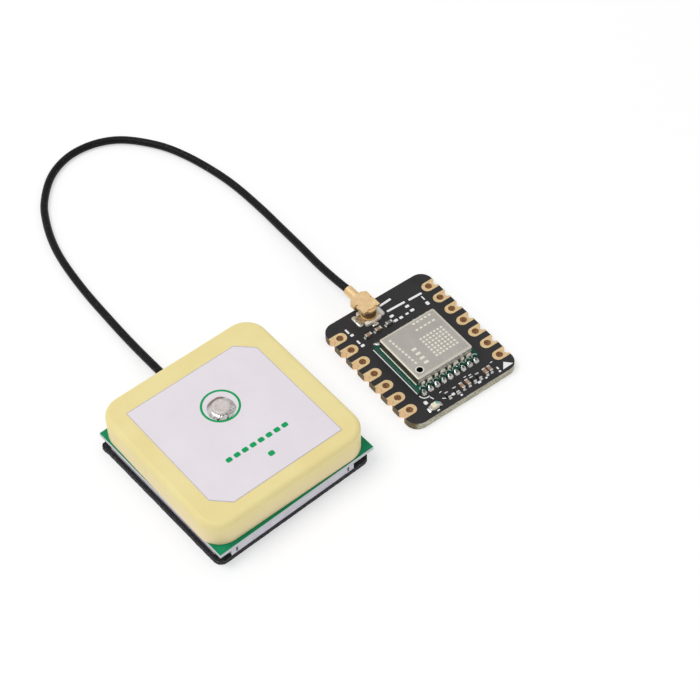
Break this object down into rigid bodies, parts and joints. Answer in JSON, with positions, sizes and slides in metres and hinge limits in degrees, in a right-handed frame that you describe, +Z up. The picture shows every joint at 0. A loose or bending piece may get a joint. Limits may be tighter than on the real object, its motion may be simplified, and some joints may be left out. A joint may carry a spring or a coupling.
{
  "type": "gps module",
  "caption": "Satellite positioning module: a small carrier board with a shielded receiver and gold edge pads, a thin coaxial lead, and a square ceramic patch antenna on a shielded amplifier.",
  "frame": {"origin": "middle of the carrier board's underside, on the surface the part lies on", "axes": "+X from the left pin row to the right pin row, +Y towards the antenna socket's edge, +Z up out of the board's top"},
  "size_m": [0.0514, 0.0729, 0.0079],
  "materials": {
    "board_black": "satin solder mask",
    "gold_plating": "satin gold plating",
    "module_green": "satin solder mask",
    "solder": "bright solder",
    "shield_metal": "satin nickel silver",
    "chip_black": "matte resin",
    "chip_cream": "matte ceramic",
    "chip_metal": "satin lid",
    "capacitor_brown": "fired ceramic",
    "inductor_grey": "fired ceramic",
    "lamp_cream": "cast resin",
    "socket_cream": "moulded plastic",
    "plug_gold": "satin gold plating",
    "insulation_white": "smooth",
    "cable_black": "smooth jacket",
    "foam_black": "cut foam",
    "can_metal": "bright tinplate",
    "amplifier_green": "satin solder mask",
    "fired_silver": "matte fired silver",
    "ceramic_yellow": "satin fired ceramic"
  },
  "bodies": {
    "root": {"carrier_board": "board_black", "edge_pads": "gold_plating", "module_board": "module_green", "module_solder": "solder", "module_shield": "shield_metal", "receiver_chip": "chip_black", "signal_filter": "chip_cream", "clock_oscillator": "chip_metal", "module_passives": "capacitor_brown", "chip_capacitors": "capacitor_brown", "chip_resistors": "chip_black", "chip_inductor": "inductor_grey", "lamp_base": "lamp_cream", "lamp_lens": "lamp_cream", "chip_ends": "solder", "socket_base": "socket_cream", "socket_shell": "gold_plating", "socket_pin": "gold_plating", "socket_solder": "solder", "plug_shell": "plug_gold", "plug_insulator": "insulation_white", "plug_contact": "plug_gold", "coax_cable": "cable_black", "lead_core": "insulation_white", "lead_solder": "solder", "foam_pad": "foam_black", "amplifier_shield": "can_metal", "amplifier_board": "amplifier_green", "amplifier_chip": "chip_black", "amplifier_filter": "chip_cream", "amplifier_passives": "capacitor_brown", "ground_electrode": "fired_silver", "antenna_ceramic": "ceramic_yellow", "antenna_patch": "fired_silver", "feed_pin": "solder", "feed_solder": "solder"}
  },
  "joints": []
}
